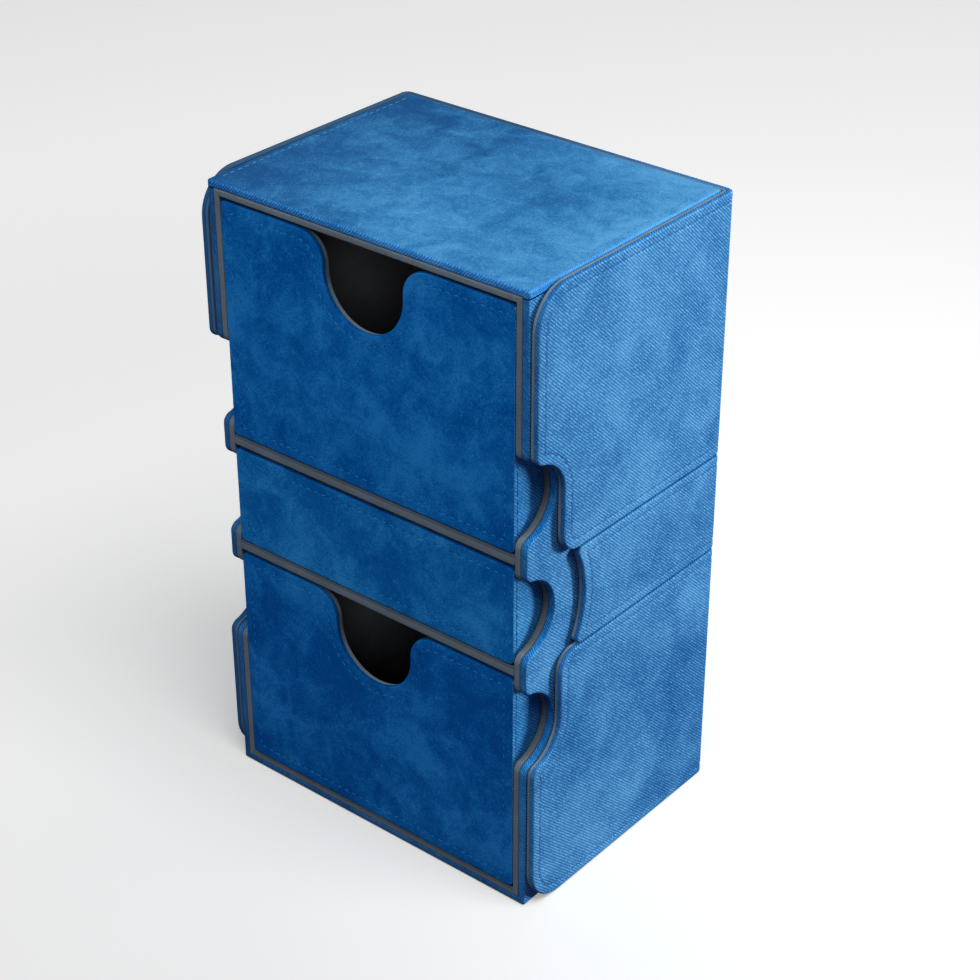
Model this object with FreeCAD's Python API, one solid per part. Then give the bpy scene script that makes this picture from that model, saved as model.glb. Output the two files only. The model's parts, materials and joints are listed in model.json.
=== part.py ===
import FreeCAD
import Part
import math
import os

# Case: wrapped boards folded round a lining, open at the front, with two shelves.
case_width = 106.0
case_depth = 78.2
case_height = 184.5
case_board = 2.1
case_lining = 1.9
case_corner_radius = 1.2
shelf_thickness = 3.2
middle_bay_height = 30.4

# Finger cut-outs: a round bite with soft lips in the front edge of both side walls, one per bay.
finger_radius = 11.4
finger_depth = 11.5
finger_lip_radius = 2.8
finger_pitch = 34.5

# Drawers: open trays with a wrapped front board, plain walls and a thin dark liner.
drawer_side_gap = 0.35
drawer_top_gap = 1.2
drawer_front_setback = 0.4
drawer_back_gap = 0.4
drawer_front_board = 1.0
drawer_front_lining = 1.4
drawer_wall = 2.0
drawer_floor = 1.8
drawer_liner = 0.6
drawer_corner_radius = 1.0

# Thumb notch of the two tall drawers, measured down from the front board's top edge.
thumb_radius = 13.3
thumb_depth = 22.8
thumb_shoulder_radius = 8.0

# Cover: three leaves behind the case, each a spine with two side flaps, folded out of lined board.
cover_gap = 0.3
cover_lining = 0.9
cover_board = 1.5
cover_corner_radius = 2.4
cover_front_setback = 0.3
cover_top_gap = 0.3
cover_floor_gap = 0.1
cover_end_radius = 11.5
cover_seam_gap = 0.6
cover_seam_radius = 6.0
middle_leaf_height = 30.0
middle_leaf_end_setback = 17.0
middle_leaf_waist_setback = 21.0
middle_leaf_tip_radius = 1.5
crease_radius = 0.25

# Magnets: discs sunk in the linings of the flaps and of the case's side walls.
magnet_radius = 5.0
magnet_thickness = 0.6
magnet_pocket_gap = 0.1
magnet_setback = 56.0
magnet_pitch = 52.0

# Cuts and trimming blocks run past the faces that they cross.
overrun = 2.0

# Places worked out from the sizes above: x is 0 at the middle, z is 0 at the base.
half_width = case_width / 2
case_wall = case_board + case_lining
case_front = -(case_depth + cover_gap + cover_lining + cover_board) / 2
case_back = case_front + case_depth
mid_height = case_height / 2
bay_half_width = half_width - case_wall
bay_back = case_back - case_wall
lower_shelf_top = mid_height - middle_bay_height / 2
upper_shelf_base = mid_height + middle_bay_height / 2
finger_heights = [mid_height - finger_pitch, mid_height, mid_height + finger_pitch]
finger_axis_y = case_front + finger_depth - finger_radius
flap_half_width = half_width + cover_gap
spine_front = case_back + cover_gap
cover_half_width = flap_half_width + cover_lining + cover_board
cover_back = spine_front + cover_lining + cover_board
cover_front = case_front + cover_front_setback
cover_top = case_height - cover_top_gap
lower_seam = mid_height - middle_leaf_height / 2
upper_seam = mid_height + middle_leaf_height / 2
magnet_y = case_front + magnet_setback

x_axis = FreeCAD.Vector(1, 0, 0)
y_axis = FreeCAD.Vector(0, 1, 0)
z_axis = FreeCAD.Vector(0, 0, 1)
side_view = (y_axis, z_axis, x_axis)
front_view = (x_axis, z_axis, y_axis)
plan_view = (x_axis, y_axis, z_axis)


class Outline:
    """A flat outline of lines and arcs, drawn in two coordinates of a view and raised along its third."""

    def __init__(self, view, start):
        self.across, self.up, self.normal = view
        self.start = self.here = start
        self.edges = []

    def point(self, place):
        return self.across * place[0] + self.up * place[1]

    def line(self, *places):
        for place in places:
            if math.dist(self.here, place) > 0:
                self.edges.append(Part.LineSegment(self.point(self.here), self.point(place)).toShape())
            self.here = place
        return self

    def arc(self, centre, end):
        """The shorter arc about a centre, through the bisector of its two radii."""
        radius = math.dist(centre, end)
        bisector = [a + b - 2 * c for a, b, c in zip(self.here, end, centre)]
        reach = radius / math.hypot(*bisector)
        middle = [c + b * reach for c, b in zip(centre, bisector)]
        ends = self.point(self.here), self.point(middle), self.point(end)
        self.edges.append(Part.Arc(*ends).toShape())
        self.here = end
        return self

    def prism(self, low, high):
        self.line(self.start)
        face = Part.Face(Part.Wire(self.edges))
        face.translate(self.normal * low)
        return face.extrude(self.normal * (high - low))


def block(x_span, y_span, z_span):
    corner = FreeCAD.Vector(x_span[0], y_span[0], z_span[0])
    return Part.makeBox(x_span[1] - x_span[0], y_span[1] - y_span[0], z_span[1] - z_span[0], corner)


def polygon(view, places):
    return Outline(view, places[0]).line(*places[1:])


def touch(centre, radius, other):
    """The point of a circle that lies towards another circle's centre."""
    share = radius / math.dist(centre, other)
    return tuple(c + (o - c) * share for c, o in zip(centre, other))


def lip_rise(front):
    """Height from a finger cut-out's centre to that of a lip which also touches the front edge."""
    across = front + finger_lip_radius - finger_axis_y
    return math.sqrt((finger_radius + finger_lip_radius) ** 2 - across ** 2)


def finger_cutter(height):
    bite = (finger_axis_y, height)
    lip_y = case_front + finger_lip_radius
    rise = lip_rise(case_front)
    upper_lip = (lip_y, height + rise)
    lower_lip = (lip_y, height - rise)
    outside = case_front - overrun
    cutter = Outline(side_view, (outside, height - rise)).line((case_front, height - rise))
    cutter.arc(lower_lip, touch(bite, finger_radius, lower_lip))
    cutter.arc(bite, touch(bite, finger_radius, upper_lip))
    cutter.arc(upper_lip, (case_front, height + rise)).line((outside, height + rise))
    return cutter.prism(-half_width - overrun, half_width + overrun)


def folded_frame(half, low, high, board, back):
    """Four boards with mitred corners, folded round a rectangle seen from the front."""
    outer = [(-half, low), (half, low), (half, high), (-half, high)]
    inner = [(-half + board, low + board), (half - board, low + board),
             (half - board, high - board), (-half + board, high - board)]
    boards = {}
    for here, side in enumerate(("bottom", "right", "top", "left")):
        after = (here + 1) % len(outer)
        places = [outer[here], outer[after], inner[after], inner[here]]
        boards[side] = polygon(front_view, places).prism(case_front, back)
    return boards


def rounded_case(front, back):
    """The case's outer form between two depths, with its long edges rounded."""
    edge, reach = half_width, half_width - case_corner_radius
    low, high = case_corner_radius, case_height - case_corner_radius
    outline = Outline(front_view, (-reach, 0)).line((reach, 0)).arc((reach, low), (edge, low))
    outline.line((edge, high)).arc((reach, high), (reach, case_height))
    outline.line((-reach, case_height)).arc((-reach, high), (-edge, high))
    outline.line((-edge, low)).arc((-reach, low), (-reach, 0))
    return outline.prism(front, back)


def magnet(x_low, height, extra=0):
    """A disc that lies flat against a side wall, or its pocket with some extra room round it."""
    start = FreeCAD.Vector(x_low, magnet_y, height)
    return Part.makeCylinder(magnet_radius + extra, magnet_thickness, start, x_axis)


def disc_groups(outer_face, heights, extra=0):
    """Discs on both sides, each with its outer face at the given distance from the middle."""
    lows = (-outer_face, outer_face - magnet_thickness)
    return [magnet(low, height, extra) for low in lows for height in heights]


def case_nodes():
    board_back = case_back - case_board
    fingers = [finger_cutter(height) for height in finger_heights]
    lining_face = half_width - case_board
    heights = [mid_height - magnet_pitch, mid_height, mid_height + magnet_pitch]
    pockets = disc_groups(lining_face, heights, magnet_pocket_gap)
    nodes = {}

    hull = rounded_case(case_front, case_back)
    for side, board in folded_frame(half_width, 0, case_height, case_board, board_back).items():
        shape = board.common(hull)
        nodes[f"case_{side}_board"] = shape.cut(fingers) if side in ("left", "right") else shape
    nodes["case_back_board"] = rounded_case(board_back, case_back)

    linings = folded_frame(lining_face, case_board, case_height - case_board, case_lining, board_back)
    for side, lining in linings.items():
        nodes[f"case_{side}_lining"] = lining.cut(fingers + pockets) if side in ("left", "right") else lining
    across = (-bay_half_width, bay_half_width)
    inner_height = (case_wall, case_height - case_wall)
    nodes["case_back_lining"] = block(across, (bay_back, board_back), inner_height)

    depth = (case_front, bay_back)
    nodes["lower_shelf"] = block(across, depth, (lower_shelf_top - shelf_thickness, lower_shelf_top))
    nodes["upper_shelf"] = block(across, depth, (upper_shelf_base, upper_shelf_base + shelf_thickness))
    nodes["case_magnets"] = Part.makeCompound(disc_groups(lining_face, heights))
    return nodes


def drawer_face(half, low, high, front, back, radius, notched):
    """A front panel with small top corners and, on a tall drawer, the thumb notch in its top edge."""
    reach, shoulder = half - radius, high - radius
    outline = Outline(front_view, (-half, low)).line((half, low), (half, shoulder))
    outline.arc((reach, shoulder), (reach, high))
    if notched:
        bowl = high - thumb_depth + thumb_radius
        turn = high - thumb_shoulder_radius
        flare = thumb_radius + thumb_shoulder_radius
        outline.line((flare, high)).arc((flare, turn), (thumb_radius, turn)).line((thumb_radius, bowl))
        outline.arc((0, bowl), (0, high - thumb_depth)).arc((0, bowl), (-thumb_radius, bowl))
        outline.line((-thumb_radius, turn)).arc((-flare, turn), (-flare, high))
    outline.line((-reach, high)).arc((-reach, shoulder), (-half, shoulder))
    return outline.prism(front, back)


def drawer_nodes(name, bay_floor, bay_ceiling, notched):
    low, high = bay_floor, bay_ceiling - drawer_top_gap
    half = bay_half_width - drawer_side_gap
    inner = half - drawer_wall
    front = case_front + drawer_front_setback
    face_back = front + drawer_front_board
    lining_back = face_back + drawer_front_lining
    back = bay_back - drawer_back_gap
    back_inner = back - drawer_wall
    floor_top = low + drawer_floor
    across = (-inner, inner)
    liner_half = inner - drawer_liner

    face = drawer_face(half, low, high, front, face_back, drawer_corner_radius, notched)
    core = drawer_face(inner, floor_top, high, face_back, lining_back, drawer_corner_radius, notched)
    liner = block(across, (lining_back, back_inner), (floor_top, high))
    hollow = block((-liner_half, liner_half), (lining_back - overrun, back_inner - drawer_liner),
                   (floor_top + drawer_liner, high + overrun))
    return {
        f"{name}_drawer_front": face,
        f"{name}_drawer_front_lining": core,
        f"{name}_drawer_left_wall": block((-half, -inner), (face_back, back), (low, high)),
        f"{name}_drawer_right_wall": block((inner, half), (face_back, back), (low, high)),
        f"{name}_drawer_back_wall": block(across, (back_inner, back), (low, high)),
        f"{name}_drawer_floor": block(across, (face_back, back_inner), (low, floor_top)),
        f"{name}_drawer_liner": liner.cut(hollow),
    }


def end_leaf(seam, end, height, way):
    """Side outline of the upper leaf (way 1) or lower leaf (way -1), from its seam to its far end."""
    edge = seam + way * cover_seam_gap / 2
    waist = case_front + finger_depth
    bite = (finger_axis_y, height)
    lip = (cover_front + finger_lip_radius, height + way * lip_rise(cover_front))
    round_end = end - way * cover_end_radius
    seam_turn = edge + way * cover_seam_radius
    outline = Outline(side_view, (cover_back, edge)).line((cover_back, end))
    outline.line((cover_front + cover_end_radius, end))
    outline.arc((cover_front + cover_end_radius, round_end), (cover_front, round_end))
    outline.line((cover_front, lip[1])).arc(lip, touch(bite, finger_radius, lip))
    outline.arc(bite, (waist, height)).line((waist, seam_turn))
    outline.arc((waist + cover_seam_radius, seam_turn), (waist + cover_seam_radius, edge))
    return outline.prism(-cover_half_width - overrun, cover_half_width + overrun)


def middle_leaf():
    """Side outline of the middle leaf: a hollow front edge whose tips are rounded into the seams."""
    low, high = lower_seam + cover_seam_gap / 2, upper_seam - cover_seam_gap / 2
    rise = (high - low) / 2
    sag = middle_leaf_waist_setback - middle_leaf_end_setback
    radius = (rise ** 2 + sag ** 2) / (2 * sag)
    hollow = (case_front + middle_leaf_waist_setback - radius, mid_height)
    tip_rise = rise - middle_leaf_tip_radius
    tip_y = hollow[0] + math.sqrt((radius + middle_leaf_tip_radius) ** 2 - tip_rise ** 2)
    upper_tip = (tip_y, mid_height + tip_rise)
    lower_tip = (tip_y, mid_height - tip_rise)
    outline = Outline(side_view, (cover_back, low)).line((cover_back, high), (tip_y, high))
    outline.arc(upper_tip, touch(hollow, radius, upper_tip))
    outline.arc(hollow, touch(hollow, radius, lower_tip)).arc(lower_tip, (tip_y, low))
    return outline.prism(-cover_half_width - overrun, cover_half_width + overrun)


def folded_layer(half, back, thickness, radius):
    """One layer of the cover seen from above: left flap, spine and right flap, mitred at the folds."""
    outer, rear = half + thickness, back + thickness
    reach, turn = outer - radius, rear - radius
    height = (-overrun, case_height + overrun)
    hull = Outline(plan_view, (-outer, cover_front)).line((outer, cover_front), (outer, turn))
    hull.arc((reach, turn), (reach, rear)).line((-reach, rear)).arc((-reach, turn), (-outer, turn))
    folds = hull.prism(*height)
    right = [(half, cover_front), (outer, cover_front), (outer, rear), (half, back)]
    left = [(-x, y) for x, y in right]
    spine = [(-half, back), (half, back), (outer, rear), (-outer, rear)]
    panels = {"left_flap": left, "right_flap": right, "spine": spine}
    return {part: polygon(plan_view, places).prism(*height).common(folds) for part, places in panels.items()}


def cover_nodes():
    lining_half, lining_back = flap_half_width + cover_lining, spine_front + cover_lining
    linings = folded_layer(flap_half_width, spine_front, cover_lining, cover_lining)
    boards = folded_layer(lining_half, lining_back, cover_board, cover_corner_radius)
    lower_finger, middle_finger, upper_finger = finger_heights
    leaves = {
        "upper_leaf": (end_leaf(upper_seam, cover_top, upper_finger, 1), mid_height + magnet_pitch),
        "middle_leaf": (middle_leaf(), mid_height),
        "lower_leaf": (end_leaf(lower_seam, cover_floor_gap, lower_finger, -1), mid_height - magnet_pitch),
    }
    nodes = {}
    for leaf, (outline, height) in leaves.items():
        pockets = disc_groups(lining_half, [height], magnet_pocket_gap)
        for part in boards:
            nodes[f"{leaf}_{part}"] = boards[part].common(outline)
            lining = linings[part].common(outline)
            nodes[f"{leaf}_{part}_lining"] = lining if part == "spine" else lining.cut(pockets)
        nodes[f"{leaf}_magnets"] = Part.makeCompound(disc_groups(lining_half, [height]))
    for name, seam in (("upper_crease", upper_seam), ("lower_crease", lower_seam)):
        start = FreeCAD.Vector(-flap_half_width, cover_back - crease_radius, seam)
        nodes[name] = Part.makeCylinder(crease_radius, 2 * flap_half_width, start, x_axis)
    return nodes


bays = {
    "bottom": (case_wall, lower_shelf_top - shelf_thickness),
    "middle": (lower_shelf_top, upper_shelf_base),
    "top": (upper_shelf_base + shelf_thickness, case_height - case_wall),
}
model = case_nodes()
for bay, (floor, ceiling) in bays.items():
    model.update(drawer_nodes(bay, floor, ceiling, bay != "middle"))
model.update(cover_nodes())

os.makedirs("parts", exist_ok=True)
for node, shape in model.items():
    shape.exportStep(f"parts/{node}.step")
print(len(model), "nodes")
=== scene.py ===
import json
import bmesh
import bpy
import numpy as np
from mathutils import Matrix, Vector


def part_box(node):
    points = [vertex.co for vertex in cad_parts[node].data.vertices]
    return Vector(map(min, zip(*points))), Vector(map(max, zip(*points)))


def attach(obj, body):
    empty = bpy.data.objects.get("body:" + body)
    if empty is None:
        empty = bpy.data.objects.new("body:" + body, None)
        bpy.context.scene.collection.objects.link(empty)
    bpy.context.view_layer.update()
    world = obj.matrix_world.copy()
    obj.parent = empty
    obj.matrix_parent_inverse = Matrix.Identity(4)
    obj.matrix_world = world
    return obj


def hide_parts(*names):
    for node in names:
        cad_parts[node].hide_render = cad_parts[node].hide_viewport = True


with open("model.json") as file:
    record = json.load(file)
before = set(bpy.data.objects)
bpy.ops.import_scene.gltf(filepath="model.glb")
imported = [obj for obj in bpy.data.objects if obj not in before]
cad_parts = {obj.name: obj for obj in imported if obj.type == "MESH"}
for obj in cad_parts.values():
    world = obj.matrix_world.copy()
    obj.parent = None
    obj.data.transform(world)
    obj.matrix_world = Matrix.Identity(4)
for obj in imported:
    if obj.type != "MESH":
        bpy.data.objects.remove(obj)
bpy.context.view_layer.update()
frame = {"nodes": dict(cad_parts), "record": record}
mm = 0.001  # shapes are worked out in millimetres and put into the mesh in metres
print("frame loaded,", len(frame["nodes"]), "nodes")


def nodeBox(node):
    return tuple(np.array(corner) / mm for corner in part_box(node))


# measures read from the frame
caseHalf, caseBack, caseTop = nodeBox("case_back_board")[1]
sideLow, sideHigh = nodeBox("case_right_board")
liningLow, liningHigh = nodeBox("case_right_lining")
caseFront = sideLow[1]
caseMid = caseTop / 2
boardThick = caseHalf - liningHigh[0]
liningThick = liningHigh[0] - liningLow[0]
coverTop = nodeBox("upper_leaf_spine")[1][2]
caseWall = boardThick + liningThick
shelfTops = [caseWall, nodeBox("lower_shelf")[1][2], nodeBox("upper_shelf")[1][2]]


def operator(kind, swapped=False):
    return lambda self, other: self.sum(kind, *((other, self) if swapped else (self, other)))


# shader sockets with arithmetic: every operator adds one Math node
class Shade:
    def __init__(self, tree, socket=None):
        self.tree = tree
        self.socket = socket

    def node(self, kind, settings=None, sockets=None, out=0):
        made = self.tree.nodes.new(kind)
        for key, value in (settings or {}).items():
            if key == "stops":
                for index, (place, colour) in enumerate(value):
                    elements = made.color_ramp.elements
                    stop = elements[index] if index < len(elements) else elements.new(place)
                    stop.position, stop.color = place, colour
            else:
                setattr(made, key, value)
        for key, value in (sockets or {}).items():
            if isinstance(value, Shade):
                self.tree.links.new(value.socket, made.inputs[key])
            else:
                made.inputs[key].default_value = value
        return Shade(self.tree, made.outputs[out])

    def sum(self, operation, first, second=0.0):
        return self.node("ShaderNodeMath", {"operation": operation}, {0: first, 1: second})

    __add__ = __radd__ = operator("ADD")
    __mul__ = __rmul__ = operator("MULTIPLY")
    __sub__, __rsub__ = operator("SUBTRACT"), operator("SUBTRACT", True)
    __pow__ = operator("POWER")


# places where painted shade darkens a cloth, for the looks that name a colour there: depths in mm, shares of
# 1
paintedShadePlace = {
    "lee": 2.0, "leeShare": 0.85, "cap": (1.4, 0.9), "capAcross": (-20, 50), "capRight": 0.8,
    "browBelow": (0.9, 0.15), "browAbove": (0.5, 1.0), "browShare": 0.72, "hollow": (0.8, 3.0),
    "hollowShare": 0.6,
}


class Finish:
    # a material with one Principled shader; cloth functions fill its sockets
    def __init__(self, name, **constants):
        self.material = bpy.data.materials.new(name)
        self.material.use_nodes = True
        tree = self.material.node_tree
        self.surface = tree.nodes["Principled BSDF"]
        self.shade = Shade(tree)
        for socket, value in constants.items():
            self.surface.inputs[socket.replace("_", " ")].default_value = value
        self.place = self.shade.node("ShaderNodeTexCoord", out="Object")

    def feed(self, socket, value):
        self.shade.tree.links.new(value.socket, self.surface.inputs[socket])

    def noise(self, size, detail=2.0, rough=0.5, warp=0.0):
        # value noise whose blotches are about size mm across
        return self.shade.node("ShaderNodeTexNoise", None, {
            "Vector": self.place, "Scale": 1 / (size * mm), "Detail": detail,
            "Roughness": rough, "Distortion": warp})

    def axes(self):
        split = self.shade.node("ShaderNodeSeparateXYZ", None, {"Vector": self.place})
        outs = split.socket.node.outputs
        return [Shade(self.shade.tree, outs[axis]) for axis in "XYZ"]

    def mix(self, factor, first, second):
        # sockets 6 and 7 are the two colours, output 2 the mix
        sockets = {0: factor, 6: first, 7: second}
        return self.shade.node("ShaderNodeMix", {"data_type": "RGBA"}, sockets, out=2)

    def step(self, value, low, high):
        # 0 below low, 1 above high, smooth between
        return self.shade.node("ShaderNodeMapRange", {"interpolation_type": "SMOOTHSTEP"}, {
            "Value": value, "From Min": low, "From Max": high})

    def tones(self, factor, look):
        # the look's colours, from dark to light, at its stops
        stops = [(stop, tone + (1,)) for stop, tone in zip(look["stops"], look["tones"])]
        return self.shade.node("ShaderNodeValToRGB", {"stops": stops}, {"Fac": factor})

    def between(self, axis, edge, depths):
        # 0 to 1 along an axis between two depths in mm from an edge
        return self.step(self.axes()[axis], (edge + depths[0]) * mm, (edge + depths[1]) * mm)

    def leeward(self):
        # the left flaps' edges, away from the light
        return (1 - self.between(0, -caseHalf, (0, paintedShadePlace["lee"]))) * paintedShadePlace["leeShare"]

    def capped(self):
        # painted shade on the cover's top edges, least on the right
        below = [-depth for depth in paintedShadePlace["cap"]]
        right = self.between(0, 0, paintedShadePlace["capAcross"]) * paintedShadePlace["capRight"]
        return self.between(2, coverTop, below) * (1 - right)

    def browed(self):
        # painted shade on shelf edges, towards the drawer that stands on them
        below = [-depth for depth in paintedShadePlace["browBelow"]]
        above = paintedShadePlace["browAbove"]
        bands = [self.between(2, top, below) - self.between(2, top, above) for top in shelfTops]
        return sum(bands) * paintedShadePlace["browShare"]

    def hollowed(self):
        # painted shade on the lining further in than its front edge, as where it turns into the finger
        # cut-outs
        return self.between(1, caseFront, paintedShadePlace["hollow"]) * paintedShadePlace["hollowShare"]

    def paintedShade(self, colour, look):
        # lays on each painted shade, a darker colour, that the look names
        shadeMasks = {"lee": self.leeward, "cap": self.capped, "brow": self.browed, "hollow": self.hollowed}
        for key, share in shadeMasks.items():
            if key in look:
                colour = self.mix(share(), colour, look[key] + (1,))
        return colour

    def relief(self, rough, height, look):
        # roughness by one value, bump by another; the bump's depth is the height in mm of a full step
        self.feed("Roughness", look["rough"][0] + rough * look["rough"][1])
        depth, strength = look["bump"]
        self.feed("Normal", self.shade.node("ShaderNodeBump", None, {
            "Height": height, "Distance": depth * mm, "Strength": strength}))


def clothFinish(name, look, toneOf):
    # colour by the cloth's tone, darker where the look says so, and roughness and bump by its height
    cloth = Finish(name, Specular_IOR_Level=look["shine"], Sheen_Weight=look["sheen"], Sheen_Roughness=0.5)
    tone, height = toneOf(cloth, look)
    cloth.feed("Base Color", cloth.paintedShade(cloth.tones(tone, look), look))
    cloth.relief(height, height, look)
    return cloth.material


# brushed cloth: cloudy patches of nap, with fine wisps of fibre lying every way
suedeLook = {
    "tones": [(0.0005, 0.079, 0.312), (0.003, 0.13, 0.415), (0.016, 0.209, 0.54)],
    "stops": (0.34, 0.5, 0.68), "patch": 9.0, "drift": 38.0, "wisp": 1.3, "fibre": 0.42,
    "fleck": (0.55, 0.72), "napMix": 0.6, "climb": 0.0005, "shine": 0.02, "sheen": 0.0, "rough": (0.82, 0.2),
    "weights": {"base": 0.48, "patch": 0.75, "drift": 0.75, "wisp": 0.35, "fleck": 0.16, "fibre": 0.64},
    "bump": (0.12, 0.5),
}
# the shallow drawer's front is paler; painted shade makes a front's edges darker and the seam under the top
# board darkest
paleLook = dict(suedeLook, tones=[(0.0012, 0.099, 0.336), (0.0062, 0.161, 0.45), (0.024, 0.249, 0.58)])
frontEdgeLook = dict(suedeLook, tones=[(0.0004, 0.04, 0.17), (0.0015, 0.066, 0.235), (0.008, 0.11, 0.32)])
seamLook = dict(suedeLook, tones=[(0.001, 0.008, 0.045), (0.002, 0.018, 0.085), (0.004, 0.035, 0.13)])


def suedeTone(cloth, look):
    # patches, slow drift, brushed-up flecks and fibre speckle as one tone about a half, rising by climb for
    # each mm of height, a painted shade darker towards the bottom, and the height of the nap
    weights = look["weights"]
    patch = cloth.noise(look["patch"], detail=5.0, rough=0.62, warp=0.6)
    drift = cloth.noise(look["drift"], warp=0.3)
    wisp = cloth.noise(look["wisp"], detail=3.0, rough=0.7, warp=2.2)
    fibre = cloth.noise(look["fibre"], rough=0.7, warp=0.8)
    fleck = cloth.step(wisp, *look["fleck"])
    rise = (cloth.axes()[2] - caseMid * mm) * (look["climb"] / mm)
    tone = weights["base"] + (patch - 0.5) * weights["patch"] + (drift - 0.5) * weights["drift"]
    tone = tone + (wisp - 0.5) * weights["wisp"] + fleck * weights["fleck"] + (fibre - 0.5) * weights["fibre"]
    return tone + rise, wisp * look["napMix"] + fibre * (1 - look["napMix"])


# twill: ribs at 45 degrees on every face, broken into short floats, over cloudy colour
twillLook = {
    "tones": [(0.003, 0.063, 0.235), (0.039, 0.19, 0.412), (0.132, 0.375, 0.66)],
    "stops": (0.22, 0.5, 0.78), "patch": 13.0, "drift": 40.0, "fuzz": 0.4, "ribs": 1.0, "lean": (1, 0.94, 1),
    "wander": (4.0, 0.5), "jitter": (0.9, 0.7), "float": 1.3, "inward": 0.4, "gain": 2.6, "loss": 0.75,
    "weights": {"thread": 0.55, "floats": 0.34, "patch": 0.48, "drift": 0.42, "fuzz": 0.5},
    "climb": 0.07, "climbOver": (0.015, 0.085), "threadMix": 0.8, "shine": 0.06, "sheen": 0.0,
    "rough": (0.75, 0.2), "bump": (0.12, 0.5),
}
# where the cloth turns over an edge it is a darker copy of the twill, painted shade, most on the case's left
# and base
edgeLook = dict(twillLook, tones=[(0.0015, 0.058, 0.21), (0.012, 0.15, 0.4), (0.055, 0.285, 0.59)],
                ribs=1.08, climb=0.0)
rimLook = dict(edgeLook, tones=[(0.003, 0.078, 0.27), (0.026, 0.195, 0.505), (0.09, 0.35, 0.72)],
               lean=(1, 1, -1), stops=(0.22, 0.5, 0.8))
# flaps' turned edges: a darker twill copy, painted shade, deeper by cap on top edges and lee on the left
flapEdgeLook = dict(edgeLook, tones=[(0.003, 0.055, 0.195), (0.02, 0.145, 0.375), (0.062, 0.275, 0.57)],
                    cap=(0.026, 0.07, 0.125), lee=(0.016, 0.078, 0.185))
drawerTwillLook = dict(twillLook, tones=[(0.007, 0.095, 0.29), (0.034, 0.205, 0.455), (0.1, 0.36, 0.64)],
                       climb=0.0)
# the turned edge on the case's left and base: darker still, painted shade
shadeLook = dict(edgeLook, tones=[(0.002, 0.04, 0.14), (0.014, 0.1, 0.265), (0.05, 0.195, 0.41)])


def twillTone(cloth, look):
    # ribs are a sine across the lean, set off by wander and jitter, light and dark in the colour as the weave
    # and as painted highlight and shade on the ribs; floats, noise drawn out along the ribs, break them into
    # dashes; the tone climbs over the lower half of the box, a painted shade darker low on the box
    x, y, z = cloth.axes()
    leanX, leanY, leanZ = look["lean"]
    weights = look["weights"]
    wander, jitter = [cloth.noise(size) * weight for size, weight in (look["wander"], look["jitter"])]
    across = (x * leanX + y * leanY + z * leanZ) * (look["ribs"] / mm) + (wander + jitter)
    along = (y - z * leanZ) * (1 / (look["float"] * mm))
    grid = cloth.shade.node("ShaderNodeCombineXYZ", None, {
        "X": across, "Y": along, "Z": x * (look["inward"] / mm)})
    floats = cloth.shade.node("ShaderNodeTexNoise", None, {
        "Vector": grid, "Scale": 1.0, "Detail": 2.0, "Roughness": 0.6})
    rib = cloth.shade.sum("SINE", across * (2 * np.pi))
    thread = rib * (floats * look["gain"] - look["loss"]) * 0.5 + 0.5
    patch = cloth.noise(look["patch"], detail=5.0, rough=0.55, warp=0.6)
    drift = cloth.noise(look["drift"], warp=0.3)
    fuzz = cloth.noise(look["fuzz"], rough=0.7)
    rise = (cloth.step(z, *look["climbOver"]) - 0.5) * look["climb"]
    tone = 0.5 + (thread - 0.5) * weights["thread"] + (floats - 0.5) * weights["floats"]
    tone = tone + (patch - 0.5) * weights["patch"] + (drift - 0.5) * weights["drift"] + rise
    tone = tone + (fuzz - 0.5) * weights["fuzz"]
    return tone, thread * look["threadMix"] + fuzz * (1 - look["threadMix"])


# top cloth: brushed, a paler, greyer copy of the brushed cloth that is partly painted sheen, painted lighter
# towards the right, with twill ribs along its turned edges
topLook = dict(suedeLook, tones=[(0.005, 0.06, 0.177), (0.022, 0.136, 0.303), (0.064, 0.243, 0.45)],
               stops=(0.22, 0.5, 0.8), patch=8.0, drift=40.0, wisp=1.5, fibre=0.5, climb=0.0, shine=0.06,
               rough=(0.8, 0.2), turned=(0.0, 0.7), fray=1.0, lean=0.42, rimLightRamp=0.18)


def topFinish(name, look, rim):
    # the brushed cloth covers the ribs past the turned depth, along a line frayed by the nap
    cloth = Finish(name, Specular_IOR_Level=look["shine"])
    x, y = cloth.axes()[:2]
    width = 2 * caseHalf * mm
    tone, nap = suedeTone(cloth, look)
    # painted light: the tone grows towards the right, by lean on the brushed cloth and by the rim's ramp on
    # the ribs
    brushed = cloth.tones(tone + x * (look["lean"] / width), look)
    ribTone, ribHeight = twillTone(cloth, rim)
    ribbed = cloth.tones(ribTone + x * (look["rimLightRamp"] / width), rim)
    inFront, inSide = y - caseFront * mm, caseHalf * mm - cloth.shade.sum("ABSOLUTE", x)
    inside = cloth.shade.sum("MINIMUM", inFront, inSide) + (nap - 0.5) * (look["fray"] * mm)
    cover = cloth.step(inside, *[depth * mm for depth in look["turned"]])
    cloth.feed("Base Color", cloth.mix(cover, ribbed, brushed))
    cloth.relief(nap, nap * cover + ribHeight * (1 - cover), look)
    return cloth.material


# lining: matte microfibre, slightly flecked
liningLook = {
    "tones": [(0.1, 0.132, 0.151), (0.156, 0.201, 0.228)], "stops": (0.35, 0.65), "nap": 0.5,
    "cloud": 9.0, "napMix": 0.55, "shine": 0.1, "sheen": 0.05, "rough": (0.86, 0.14), "bump": (0.08, 0.4),
}
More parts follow.
